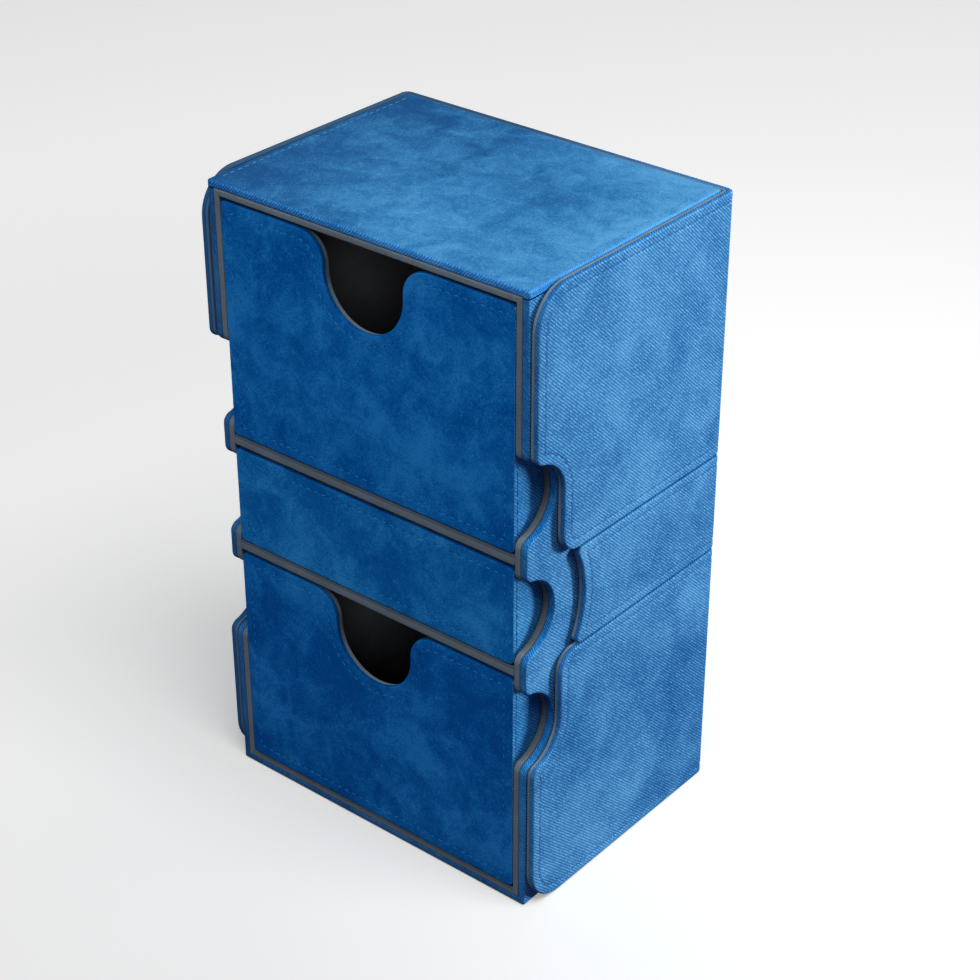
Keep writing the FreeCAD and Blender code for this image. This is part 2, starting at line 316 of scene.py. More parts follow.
# cap, lee, hollow and brow colours below are painted shade
flapLiningLook = dict(liningLook, tones=[(0.1, 0.152, 0.195), (0.158, 0.228, 0.29)],
                      cap=(0.013, 0.052, 0.109))
flapLiningEdgeLook = dict(flapLiningLook, lee=(0.034, 0.122, 0.245))
caseLiningLook = dict(liningLook, hollow=(0.062, 0.072, 0.074))
shelfLook = dict(liningLook, brow=(0.018, 0.028, 0.04))
darkLook = dict(liningLook, tones=[(0.095, 0.1, 0.108), (0.15, 0.157, 0.168)], nap=0.6, cloud=12.0)


def liningTone(cloth, look):
    # nap and cloud mixed as one tone, and the height of the nap
    nap = cloth.noise(look["nap"], detail=3.0, rough=0.7)
    cloud = cloth.noise(look["cloud"], detail=3.0)
    return nap * look["napMix"] + cloud * (1 - look["napMix"]), nap


# thread: twisted yarn close to the cloth's own colour
threadLook = {"stops": (0.3, 0.7), "twist": 0.35, "lean": (1.3, 0.7), "fleck": 0.8, "shine": 0.03,
              "rough": (0.65, 0.3), "bump": (0.05, 0.5)}
frontThreadLook = dict(threadLook, tones=[(0.007, 0.128, 0.385), (0.03, 0.24, 0.555)])
flapThreadLook = dict(threadLook, tones=[(0.01, 0.08, 0.24), (0.05, 0.19, 0.39)])
topThreadLook = dict(threadLook, tones=[(0.022, 0.115, 0.265), (0.062, 0.215, 0.4)])


def threadFinish(name, look):
    # the twist is a sine across the yarn's lean; flecks are noise
    yarn = Finish(name, Specular_IOR_Level=look["shine"])
    x, y, z = yarn.axes()
    leanY, leanZ = look["lean"]
    turns = (x + y * leanY + z * leanZ) * (2 * np.pi / (look["twist"] * mm))
    twist = yarn.shade.sum("SINE", turns) * 0.5 + 0.5
    fleck = yarn.noise(look["fleck"])
    yarn.feed("Base Color", yarn.tones(twist * 0.5 + fleck * 0.5, look))
    yarn.relief(fleck, twist, look)
    return yarn.material


# magnets: nickel plate with faint turning marks
plateLook = {"tones": [(0.5, 0.5, 0.51), (0.66, 0.66, 0.67)], "stops": (0.3, 0.7), "mark": 1.5,
             "rough": (0.22, 0.2)}


def plateFinish(name, look):
    # colour and roughness by one noise
    plate = Finish(name, Metallic=1.0)
    mark = plate.noise(look["mark"], detail=4.0, rough=0.7)
    plate.feed("Base Color", plate.tones(mark, look))
    plate.feed("Roughness", look["rough"][0] + mark * look["rough"][1])
    return plate.material


suede = clothFinish("brushedCloth", suedeLook, suedeTone)
frontEdge = clothFinish("turnedFront", frontEdgeLook, suedeTone)
topCloth = topFinish("brushedTop", topLook, rimLook)
paleSuede = clothFinish("paleCloth", paleLook, suedeTone)
drawerTwill = clothFinish("drawerTwill", drawerTwillLook, twillTone)
twill = clothFinish("twillCloth", twillLook, twillTone)
edgeTwill = clothFinish("turnedTwill", edgeLook, twillTone)
flapEdge = clothFinish("turnedFlap", flapEdgeLook, twillTone)
shadeTwill = clothFinish("shadedTwill", shadeLook, twillTone)
seam = clothFinish("seamCloth", seamLook, suedeTone)
lining = clothFinish("greyLining", liningLook, liningTone)
sleeveLining = clothFinish("sleeveLining", caseLiningLook, liningTone)
flapLining = clothFinish("flapLining", flapLiningLook, liningTone)
flapLiningEdge = clothFinish("flapLiningEdge", flapLiningEdgeLook, liningTone)
shelfLining = clothFinish("shelfLining", shelfLook, liningTone)
darkLining = clothFinish("darkLining", darkLook, liningTone)
frontThread = threadFinish("frontThread", frontThreadLook)
flapThread = threadFinish("flapThread", flapThreadLook)
topThread = threadFinish("topThread", topThreadLook)
plate = plateFinish("nickelPlate", plateLook)
print("finishes made")


# edges of boards, in mm: a corner's least radius, flats beside the rounded edges, the stitch groove's slope
edgeSize = {"leastRadius": 0.03, "turnSteps": 6, "flat": 0.7, "lead": 0.15, "backFlat": 0.3, "rimInset": 1.0,
            "grooveSteps": 9, "grooveFall": 2.2, "grooveLead": 1.6, "boardCorner": 0.3}


def roundLoop(corners, inset, steps=10, columns=None):
    # rounded polygon moved inwards: every side shifts by inset along its inner normal, and the arc at a
    # corner keeps its centre, so an outer corner's radius shrinks and an inner corner's grows
    corners = np.asarray(corners, float)
    place, radius = corners[:, :2], corners[:, 2]
    ahead = np.roll(place, -1, 0) - place
    ahead /= np.linalg.norm(ahead, axis=1)[:, None]
    behind = np.roll(ahead, 1, 0)
    inA = np.stack([-behind[:, 1], behind[:, 0]], 1)
    inB = np.stack([-ahead[:, 1], ahead[:, 0]], 1)
    turn = np.arctan2(behind[:, 0] * ahead[:, 1] - behind[:, 1] * ahead[:, 0], (behind * ahead).sum(1))
    moved = place + inset * (inA + inB) / (1 + (inA * inB).sum(1))[:, None]
    bend = np.sign(turn)
    radius = np.maximum(radius - bend * inset, edgeSize["leastRadius"])
    start = moved - behind * (radius * np.tan(np.abs(turn) / 2))[:, None]
    centre = start + inA * (radius * bend)[:, None]
    swing = turn[:, None] * np.linspace(0, 1, steps)[None, :]
    out = -inA * (radius * bend)[:, None]
    spun = np.stack([out[:, None, 0] * np.cos(swing) - out[:, None, 1] * np.sin(swing),
                     out[:, None, 0] * np.sin(swing) + out[:, None, 1] * np.cos(swing)], 2)
    arcs = centre[:, None] + spun
    if columns is None:
        return arcs.reshape(-1, 2)
    # extra points where a long side, from corner i to the next, bends round a fold
    runs = []
    for index, arc in enumerate(arcs):
        runs.append(arc)
        if index in columns:
            across = np.asarray(columns[index], float)
            runs.append(np.stack([across, np.full(len(across), arc[-1, 1])], 1))
    return np.concatenate(runs)


def edgeArcs(thick, soft, back):
    # a board's outer and back edge as (inset, depth), each a quarter circle
    turn = np.linspace(np.pi / 2, 0, edgeSize["turnSteps"])
    outer = zip(soft * (1 - np.cos(turn)), soft * (1 - np.sin(turn)))
    inner = zip(back * (1 - np.cos(turn[::-1])), thick - back * (1 - np.sin(turn[::-1])))
    return list(outer) + list(inner)


def edgeProfile(thick, soft, back, groove=None):
    # half section of a board as (inset, depth): flat face, bell-shaped groove, both edges, flat back
    face = [(soft + edgeSize["flat"], 0.0)]
    if groove:
        ride = np.linspace(1, -1, edgeSize["grooveSteps"])
        dip = groove["depth"] * np.exp(-(ride * edgeSize["grooveFall"]) ** 2)
        face = [(groove["inset"] + groove["width"] * edgeSize["grooveLead"], 0.0)]
        face += list(zip(groove["inset"] + ride * groove["width"], dip))
    face += [(soft + edgeSize["lead"], 0.0)]
    return np.array(face + edgeArcs(thick, soft, back) + [(back + edgeSize["backFlat"], thick)])


def putMesh(name, points, faces, materials, picks=None, angle=40):
    mesh = bpy.data.meshes.new(name)
    mesh.from_pydata((points * mm).tolist(), [], faces)
    for material in materials:
        mesh.materials.append(material)
    if picks is not None:
        mesh.polygons.foreach_set("material_index", np.asarray(picks, np.int32))
    work = bmesh.new()
    work.from_mesh(mesh)
    bmesh.ops.recalc_face_normals(work, faces=work.faces)
    work.to_mesh(mesh)
    work.free()
    mesh.shade_smooth()
    mesh.set_sharp_from_angle(angle=np.radians(angle))
    piece = bpy.data.objects.new(name, mesh)
    bpy.context.collection.objects.link(piece)
    return piece


def ringFaces(rows, count, closed=False):
    # quads between neighbouring loops of the same count of points
    row = np.arange(rows if closed else rows - 1)[:, None]
    here = np.arange(count)[None, :]
    after = (here + 1) % count
    nextRow = (row + 1) % rows
    quads = np.stack([row * count + here, nextRow * count + here,
                      nextRow * count + after, row * count + after], 2)
    return quads.reshape(-1, 4)


def slab(name, corners, profile, lift, materials, columns=None, steps=10, rim=0, rimFrom=0.2):
    # a board: the edge profile carried round its outline, closed by a face on each side; lift(u, v, depth)
    # stands it up in space; rim is the finish of the edge past depth rimFrom, for all or for each point
    loops = np.stack([roundLoop(corners, inset, steps, columns) for inset in profile[:, 0]])
    rows, count = loops.shape[:2]
    depth = np.repeat(profile[:, 1][:, None], count, 1)
    points = lift(loops[..., 0], loops[..., 1], depth).reshape(-1, 3)
    faces = ringFaces(rows, count).tolist()
    middle = (profile[:-1] + profile[1:]) / 2
    turned = (middle[:, 1] > rimFrom) & (middle[:, 0] < edgeSize["rimInset"])
    picks = np.where(turned[:, None], np.broadcast_to(rim, count)[None, :], 0).ravel().tolist()
    for first, flip in ((0, 1), ((rows - 1) * count, -1)):
        for cap in capLoops(corners, columns, steps):
            faces.append((first + np.array(cap))[::flip].tolist())
            picks.append(0)
    return putMesh(name, points, faces, materials, picks)


def capLoops(corners, columns, steps):
    # the face inside the last loop, cut into strips where the board folds
    count = len(corners) * steps
    if columns is None:
        return [list(range(count))]
    lowSide, highSide = sorted(columns)
    cells = len(columns[lowSide])
    lowStart = (lowSide + 1) * steps
    highStart = (highSide + 1) * steps + cells
    total = count + 2 * cells
    lows = lowStart + np.arange(cells)
    highs = highStart + np.arange(cells)[::-1]
    strips = [[lows[i], lows[i + 1], highs[i + 1], highs[i]] for i in range(cells - 1)]
    middle = list(range(lows[-1], highs[-1] + 1))
    outside = list(range(highs[0], total)) + list(range(0, lows[0] + 1))
    return strips + [middle, outside]


def boardFromNode(node, material, soft, rise=0.0):
    # a plain board in a node's own box, with all its edges softened and its underside raised by rise
    low, high = nodeBox(node)
    low = low + (0, 0, rise)
    thin = int(np.argmin(high - low))
    across, up = [axis for axis in range(3) if axis != thin]
    corners = [(u, v, edgeSize["boardCorner"]) for u, v in (
        (low[across], low[up]), (high[across], low[up]), (high[across], high[up]), (low[across], high[up]))]

    def lift(u, v, depth):
        spot = np.empty(u.shape + (3,))
        spot[..., across], spot[..., up], spot[..., thin] = u, v, high[thin] - depth
        return spot

    piece = slab(node + ".cloth", corners, edgeProfile(high[thin] - low[thin], soft, soft), lift, [material])
    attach(piece, bodyOf(node))
    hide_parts(node)
    return piece


def bodyOf(node):
    bodies = frame["record"]["behaviour"]["bodies"]
    return next(body for body, nodes in bodies.items() if node in nodes)


# stitches: short bowed lengths of thread whose ends dip into the cloth
stitchSize = {"pitch": 2.7, "length": 2.0, "radius": 0.15, "rise": 0.12, "sink": 0.1, "rings": 7, "sides": 6,
              "sunkFrom": 0.6, "crease": 80}


def stitches(name, path, lift, body, thread, closed=True, size=stitchSize, hole=None):
    # path is a flat polyline, walked at even steps; lift stands it up as it does its board; hole is the
    # finish of a stitch's two ends, where it goes through the cloth; a darker hole finish there is painted
    # shade
    if closed:
        path = np.vstack([path, path[:1]])
    walk = np.concatenate([[0], np.cumsum(np.linalg.norm(np.diff(path, axis=0), axis=1))])
    count = max(int(round(walk[-1] / size["pitch"])), 1)
    step = walk[-1] / count
    middle = (np.arange(count) + 0.5) * step
    # one stitch: a tube along t from -1 to 1, its radius times the root of 1.02 - t^4, bowed up by 1 - t^2
    t = np.sin(np.linspace(-np.pi / 2, np.pi / 2, size["rings"]))
    around = np.linspace(0, 2 * np.pi, size["sides"], endpoint=False)
    thick = size["radius"] * np.sqrt(np.clip(1.02 - t ** 4, 0, 1))
    spots = middle[:, None] + t[None, :] * size["length"] / 2 * step / size["pitch"]
    spots = spots % walk[-1] if closed else np.clip(spots, 0, walk[-1])
    u, v = np.interp(spots, walk, path[:, 0]), np.interp(spots, walk, path[:, 1])
    on = lift(u, v, np.zeros_like(u))
    out = on - lift(u, v, np.ones_like(u))
    along = np.roll(on, -1, 1) - on
    along[:, -1] = along[:, -2]
    along /= np.linalg.norm(along, axis=2)[..., None]
    side = np.cross(out, along)
    bow = size["rise"] * (1 - t ** 2) - size["sink"]
    centre = on + out * bow[None, :, None]
    ring = np.cos(around)[:, None] * side[:, :, None] + np.sin(around)[:, None] * out[:, :, None]
    points = (centre[:, :, None] + ring * thick[None, :, None, None]).reshape(-1, 3)
    tube = ringFaces(size["rings"], size["sides"])
    each = size["rings"] * size["sides"]
    starts = (np.arange(count) * each)[:, None, None]
    quads = (tube[None] + starts).reshape(-1, 4)
    caps = np.stack([np.arange(size["sides"]), each - 1 - np.arange(size["sides"])])
    lids = (caps[None] + starts).reshape(-1, size["sides"])
    sunk = np.repeat(np.abs(t[:-1] + t[1:]) / 2 > size["sunkFrom"], size["sides"])
    picks = np.concatenate([np.tile(sunk, count), np.ones(len(lids), bool)])
    piece = putMesh(name, points, quads.tolist() + lids.tolist(), [thread, hole or thread], picks,
                    size["crease"])
    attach(piece, body)
    return piece


# case sleeve: four wrapped boards folded round the case, with the finger cut-outs in both side edges
fingerCut = {"radius": 11.4, "depth": 11.5, "lip": 2.8, "pitch": 34.5}
sleeveSize = {"corner": 0.8, "soft": 0.6, "innerSoft": 0.5, "cornerSteps": 7, "arcSteps": 9, "seamDip": 0.3,
              "seamSpread": 0.2, "rearGap": 0.45, "lead": 0.2, "leastRadius": 0.05, "edgeRows": (4, 3)}
topSeam = caseTop - boardThick  # the top board lies on the side boards
fingerAxis = caseFront + fingerCut["depth"] - fingerCut["radius"]
fingerHeights = [caseMid - fingerCut["pitch"], caseMid, caseMid + fingerCut["pitch"]]


def lipRise(front):
    # height over a cut-out's centre where its lip arc, which touches the bite, starts from the front edge
    across = front + fingerCut["lip"] - fingerAxis
    return ((fingerCut["radius"] + fingerCut["lip"]) ** 2 - across ** 2) ** 0.5


def fingerEdge(steps):
    # one cut-out from its lower to its upper lip as (y, height over its centre): lip arc, bite arc, lip arc
    radius, lip = fingerCut["radius"], fingerCut["lip"]
    rise, lipY = lipRise(caseFront), caseFront + lip
    lean = np.arctan2(rise, lipY - fingerAxis)
    lower = np.linspace(np.pi, np.pi - lean, steps)
    bite = np.linspace(-lean, lean, 3 * steps)[1:-1]
    lipCurve = np.stack([lipY + lip * np.cos(lower), -rise + lip * np.sin(lower)], 1)
    biteCurve = np.stack([fingerAxis + radius * np.cos(bite), radius * np.sin(bite)], 1)
    return np.concatenate([lipCurve, biteCurve, lipCurve[::-1] * (1, -1)])


def sleevePath(half, low, high, radius, dip):
    # closed path round the case seen from the front, with the front edge's depth y at each point;
    # a side climbs past its finger cut-outs, dips into the seam under the top board and turns the corner
    turn = np.linspace(0, np.pi / 2, sleeveSize["cornerSteps"])
    corner = np.stack([np.cos(turn), np.sin(turn)], 1) * radius
    finger = fingerEdge(sleeveSize["arcSteps"])
    spread = sleeveSize["seamSpread"]
    seamAt = min(topSeam, high - radius - 3 * spread)
    dips = np.array([(caseFront, seamAt + step * spread) for step in (-1, 0, 1)])
    climb = np.concatenate([finger + (0, height) for height in fingerHeights] + [dips])
    reach = np.full(len(climb), half)
    reach[-2] -= dip

    def quarter(x, z, times):
        c, s = np.cos(times * np.pi / 2), np.sin(times * np.pi / 2)
        return np.array([x, z]) + corner @ np.array([[c, s], [-s, c]])

    right = np.stack([reach, climb[:, 1]], 1)
    left = right[::-1] * (-1, 1)
    inX, inLow, inHigh = half - radius, low + radius, high - radius
    parts = [quarter(inX, inLow, 3), right, quarter(inX, inHigh, 0), quarter(-inX, inHigh, 1), left,
             quarter(-inX, inLow, 2)]
    flat = np.full(sleeveSize["cornerSteps"], caseFront)
    fronts = [flat, climb[:, 0], flat, flat, climb[::-1, 0], flat]
    return np.concatenate(parts), np.concatenate(fronts)


def sleeve(name, half, low, high, radius, dip, thick, soft, innerSoft, rear, materials, pick):
    # the path's outer skin runs back to the rear; its front edge is carried round a soft section to the
    # inside, where every depth has a path of its own, drawn in by that depth
    path, fronts = sleevePath(half, low, high, radius, 0.0)
    step = np.roll(path, -1, 0) - np.roll(path, 1, 0)
    climb = np.linalg.norm(step, axis=1)
    along = step / climb[:, None]
    run = np.roll(fronts, -1) - np.roll(fronts, 1)
    slope = np.hypot(run, climb)
    inwardY, inwardS = climb / slope, -run / slope
    section = [(None, 0.0), (soft + sleeveSize["lead"], 0.0)] + edgeArcs(thick, soft, innerSoft)
    section += [(innerSoft + sleeveSize["lead"], thick), (None, thick)]
    rows = []
    for inset, depth in section:
        shift = 0.0 if inset is None else inset
        drawn = sleevePath(half - depth, low + depth, high - depth,
                           max(radius - depth, sleeveSize["leastRadius"]), max(dip - depth, 0.0))[0]
        flat = drawn + along * (inwardS * shift)[:, None]
        y = np.full(len(path), rear) if inset is None else fronts + inwardY * shift
        rows.append(np.stack([flat[:, 0], y, flat[:, 1]], 1))
    points = np.stack(rows)
    faces = ringFaces(len(rows), len(path), closed=True)
    across = np.repeat(np.arange(len(rows)), len(path))
    edgeFirst, edgeLast = sleeveSize["edgeRows"]
    turned = (across >= edgeFirst) & (across < len(rows) - edgeLast)
    picks = pick(points.reshape(-1, 3)[faces].mean(1), turned)
    piece = putMesh(name, points.reshape(-1, 3), faces.tolist(), materials, picks)
    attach(piece, "case")
    return piece


def sleeveCloth(centres, turned):
    # 0 twill on the sides and base, 1 the top board's cloth, 2 the seam between them, in painted shade, 3 the
    # turned front edge, in painted shade, 4 that edge on the left and below, where painted shade makes it
    # darker
    inSeam = np.abs(centres[:, 2] - topSeam) < sleeveSize["seamSpread"]
    onSide = caseHalf - np.abs(centres[:, 0]) < boardThick
    shadedEdge = (centres[:, 0] < boardThick - caseHalf) | (centres[:, 2] < boardThick)
    cloth = np.where(centres[:, 2] > topSeam, 1, np.where(turned, np.where(shadedEdge, 4, 3), 0))
    return np.where(inSeam & onSide, 2, cloth)


caseSleeve = sleeve("caseSleeve", caseHalf, 0.0, caseTop, sleeveSize["corner"], sleeveSize["seamDip"],
                    boardThick, sleeveSize["soft"], sleeveSize["innerSoft"], caseBack - sleeveSize["rearGap"],
                    [twill, topCloth, seam, edgeTwill, shadeTwill], sleeveCloth)
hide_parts("case_top_board", "case_bottom_board", "case_left_board", "case_right_board")

liningSize = {"corner": 0.25, "soft": 0.4, "gap": 0.06, "shelfSoft": 0.35, "shelfRise": 0.35, "backSoft": 0.2,
              "floorOver": 0.05}
liningOut = boardThick + liningSize["gap"]
caseLining = sleeve("caseLining", caseHalf - liningOut, liningOut, caseTop - liningOut, liningSize["corner"],
                    0.0, liningThick - liningSize["gap"], liningSize["soft"], liningSize["soft"], sideHigh[1],
                    [sleeveLining, shelfLining],
                    lambda centres, turned: (centres[:, 2] < caseWall + liningSize["floorOver"]).astype(int))
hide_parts("case_top_lining", "case_bottom_lining", "case_left_lining", "case_right_lining")
for shelf in ("upper_shelf", "lower_shelf"):
    board = boardFromNode(shelf, shelfLining, liningSize["shelfSoft"], liningSize["shelfRise"])
boardFromNode("case_back_lining", lining, liningSize["backSoft"])

backSize = {"soft": 0.4, "innerSoft": 0.02, "corner": 0.8, "innerGap": 0.05}
backCorners = [(side * caseHalf, height, backSize["corner"])
               for side, height in ((-1, 0), (1, 0), (1, caseTop), (-1, caseTop))]
rearThick = sleeveSize["rearGap"] - backSize["innerGap"]
rearProfile = edgeProfile(rearThick, backSize["soft"], backSize["innerSoft"])
caseRear = slab("caseRear", backCorners, rearProfile,
                lambda u, v, depth: np.stack([-u, caseBack - depth, v], -1), [twill])
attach(caseRear, "case")
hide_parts("case_back_board")

topStitch = {"inset": 2.3, "endGap": 3.0}
for side, label in ((-1, "Left"), (1, "Right")):
    line = side * (caseHalf - topStitch["inset"])
    row = np.array([(line, caseFront + topStitch["endGap"]), (line, caseBack - topStitch["endGap"])])
    stitches("topStitches" + label, row, lambda u, v, depth: np.stack([u, v, caseTop - depth], -1), "case",
             topThread, closed=False)
print("case made")

# drawers: brushed front with its thumb notch and stitched border, grey backing, twill walls, dark inside
drawerLook = {
    "corner": 1.4, "soft": 0.28, "thumbRadius": 13.3, "thumbDepth": 22.8, "thumbFlat": 0.01, "shoulder": 8.0,
    "groove": {"inset": 3.0, "width": 0.45, "depth": 0.09}, "stitchLength": 2.6, "sideStitch": 1.5,
    "sideStitchGap": 2.5, "innerSoft": 0.12, "rimFrom": 0.05, "wrap": 0.3, "wallSoft": 0.3, "coreSoft": 0.15,
    "coreInset": 0.15, "plainSteps": 8, "notchedSteps": 16,
    "proud": 0.2, "lift": 0.3, "left": 0.2, "rise": 0.3,  # how far the front board stands past its solid
}


def frontCorners(low, high, radius, notched):
    # outline seen from the front, anticlockwise: the thumb notch is a square slot with its corners rounded
    corners = [(low[0], low[2], radius), (high[0], low[2], radius), (high[0], high[2], radius)]
    if notched:
        reach, base = drawerLook["thumbRadius"], high[2] - drawerLook["thumbDepth"]
        curve, shoulder = reach - drawerLook["thumbFlat"], drawerLook["shoulder"]
        corners += [(reach, high[2], shoulder), (reach, base, curve), (-reach, base, curve),
                    (-reach, high[2], shoulder)]
    return corners + [(low[0], high[2], radius)]


def makeDrawer(name, notched, look=drawerLook):
    body = name + "_drawer"
    low, high = nodeBox(body + "_front")
    low = low + (-look["left"], -look["proud"], look["lift"])
    high = high + (0, 0, look["rise"])
    steps = look["notchedSteps" if notched else "plainSteps"]

    def lift(u, v, depth):
        return np.stack([u, low[1] + depth, v], -1)

    corners = frontCorners(low, high, look["corner"], notched)
    profile = edgeProfile(high[1] - low[1], look["soft"], look["innerSoft"], look["groove"])
    # the twill of the walls turns round both upright edges; the other edges are darker, in painted shade
    across = roundLoop(corners, 0.0, steps)[:, 0]
    upright = (across < low[0] + look["wrap"]) | (across > high[0] - look["wrap"])
    rim = np.where(upright & np.roll(upright, -1), 2, 1)
    cloths = [suede if notched else paleSuede, frontEdge, drawerTwill]
    front = slab(name + "Front", corners, profile, lift, cloths, steps=steps, rim=rim,
                 rimFrom=look["rimFrom"])
    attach(front, body)
    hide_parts(body + "_front")
    sidePieces.append(front)

    coreLow, coreHigh = nodeBox(body + "_front_lining")

    def coreLift(u, v, depth):
        return np.stack([u, coreLow[1] + depth, v], -1)

    coreProfile = edgeProfile(coreHigh[1] - coreLow[1], look["coreSoft"], look["coreSoft"])
    core = slab(name + "FrontBacking", frontCorners(coreLow, coreHigh, look["corner"], notched),
                coreProfile + (look["coreInset"], 0), coreLift, [lining], steps=steps)
    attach(core, body)
    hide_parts(body + "_front_lining")

    path = roundLoop(corners, look["groove"]["inset"], steps)
    # the stitches' ends take the darker front-edge cloth, painted shade where they dip into the cloth
    stitches(name + "FrontStitches", path, lambda u, v, d: lift(u, v, d + look["groove"]["depth"]),
             body, frontThread, size=dict(stitchSize, length=look["stitchLength"]), hole=frontEdge)
    for wall in ("left_wall", "right_wall", "back_wall", "floor"):
        sidePieces.append(boardFromNode(body + "_" + wall, drawerTwill, look["wallSoft"]))
    line, gap = low[1] + look["sideStitch"], look["sideStitchGap"]
    row = np.array([(line, low[2] + gap), (line, high[2] - gap)])
    for side, label in ((-1, "LeftStitches"), (1, "RightStitches")):
        face = side * high[0]

        def sideLift(u, v, depth, face=face, side=side):
            return np.stack([face - side * depth, u, v], -1)

        sidePieces.append(stitches(name + label, row, sideLift, body, frontThread, closed=False))


sidePieces = []  # what the low light on the drawers' sides reaches
for drawerName in ("top", "middle", "bottom"):
    makeDrawer(drawerName, drawerName != "middle")
    print(drawerName, "drawer made")

# cover leaves: one wrapped board and one lining each, folded from the right flap round the spine to the left
leafLook = {
    "fold": 2.4, "liningFold": 1.4, "soft": 0.6, "back": 0.4, "liningSoft": 0.25, "foldSteps": 6, "steps": 12,
    "endRadius": 11.5, "seamRadius": 6.0, "tip": 1.5, "middleEnd": 17.0, "middleWaist": 21.0,
    "groove": {"inset": 2.8, "width": 0.75, "depth": 0.2}, "liningInset": 0.15, "liningRise": 0.1,
    "splayRight": 0.1, "splayLeft": {"upper_leaf": 0.75, "middle_leaf": 0.55, "lower_leaf": 0.10},
}


def foldLift(leaf, half, rear, fold):
    # s runs from the right flap's front edge, round the spine, to the left flap's front edge, with a quarter
    # circle at each fold; z is kept; both flaps stand slightly open, more so on the left
    flat, bend = half - fold, fold * np.pi / 2

    def lift(s, z, depth):
        far = np.abs(s)
        side = -np.sign(s)
        angle = np.clip((far - flat) / fold, 0, np.pi / 2)
        past = np.clip(far - flat - bend, 0, None)
        splay = np.where(side > 0, leafLook["splayRight"], leafLook["splayLeft"][leaf])
        x = np.minimum(far, flat) + (fold - depth) * np.sin(angle) + splay * past / (rear - caseFront)
        y = rear - fold + (fold - depth) * np.cos(angle) - past
        return np.stack([side * x, y, z], -1)

    def unroll(y):
        # distance from the spine's middle to a place on the flap
        return flat + bend + rear - fold - y

    return lift, unroll, flat, bend


def tangent(axis, radius, tip, tipAt):
    # where an arc about (axis, 0) touches one of radius tip about tipAt, and the direction of both there
    lean = (np.array(tipAt) - (axis, 0)) / (radius + tip)
    return np.array([axis, 0]) + lean * radius, np.array([lean[1], -lean[0]])


def endCorners(unroll, seam, end, height, way, front):
    # left flap of an end leaf: seam corner, waist, bite, lip and rounded end
    touch, along = tangent(fingerAxis, fingerCut["radius"], fingerCut["lip"],
                           (front + fingerCut["lip"], lipRise(front)))
    lipCorner = touch + along * (front - touch[0]) / along[0]
    waist = fingerAxis + fingerCut["radius"]
    biteCorner = touch + along * (waist - touch[0]) / along[0]
    half = [(waist, seam, leafLook["seamRadius"]), (waist, height + way * biteCorner[1], fingerCut["radius"]),
            (front, height + way * lipCorner[1], fingerCut["lip"]), (front, end, leafLook["endRadius"])]
    return [(unroll(y), z, r) for y, z, r in half]


def middleCorners(unroll, low, high):
    # left flap of the middle leaf: its front edge is a shallow arc, one inner corner between its two tips
    rise = (high - low) / 2
    sag = leafLook["middleWaist"] - leafLook["middleEnd"]
    radius = (rise ** 2 + sag ** 2) / (2 * sag)
    hollow = caseFront + leafLook["middleWaist"] - radius
    tipRise = rise - leafLook["tip"]
    tipY = hollow + ((radius + leafLook["tip"]) ** 2 - tipRise ** 2) ** 0.5
    touch, along = tangent(hollow, radius, leafLook["tip"], (tipY, tipRise))
    tipCorner = touch + along * (rise - touch[1]) / along[1]
    waistCorner = touch + along * (0 - touch[1]) / along[1]
    middle = (low + high) / 2
    return [(unroll(tipCorner[0]), low, leafLook["tip"]), (unroll(waistCorner[0]), middle, radius),
            (unroll(tipCorner[0]), high, leafLook["tip"])]


def leafOutline(leaf, unroll, rise=0.0):
    # the left flap's corners, mirrored about the spine; rise lifts the upper leaf's end
    low, high = nodeBox(leaf + "_spine")
    front = nodeBox("upper_leaf_right_flap")[0][1]
    way = -1 if leaf == "lower_leaf" else 1
    if leaf == "middle_leaf":
        half = middleCorners(unroll, low[2], high[2])
    else:
        seam, end = (low[2], high[2] + rise) if way > 0 else (high[2], low[2])
        half = endCorners(unroll, seam, end, caseMid + way * fingerCut["pitch"], way, front)
    return (half + [(-s, z, r) for s, z, r in half][::-1])[::way]


def foldColumns(corners, flat, bend):
    # where the top and bottom sides cross the folds; the sides that span the spine are the two longest
    turns = np.linspace(flat, flat + bend, leafLook["foldSteps"])
    row = np.concatenate([-turns[::-1], turns])
    spots = np.array([corner[0] for corner in corners])
    reach = np.roll(spots, -1) - spots
    rising, falling = int(np.argmax(reach)), int(np.argmin(reach))
    return {rising: row, falling: row[::-1]}


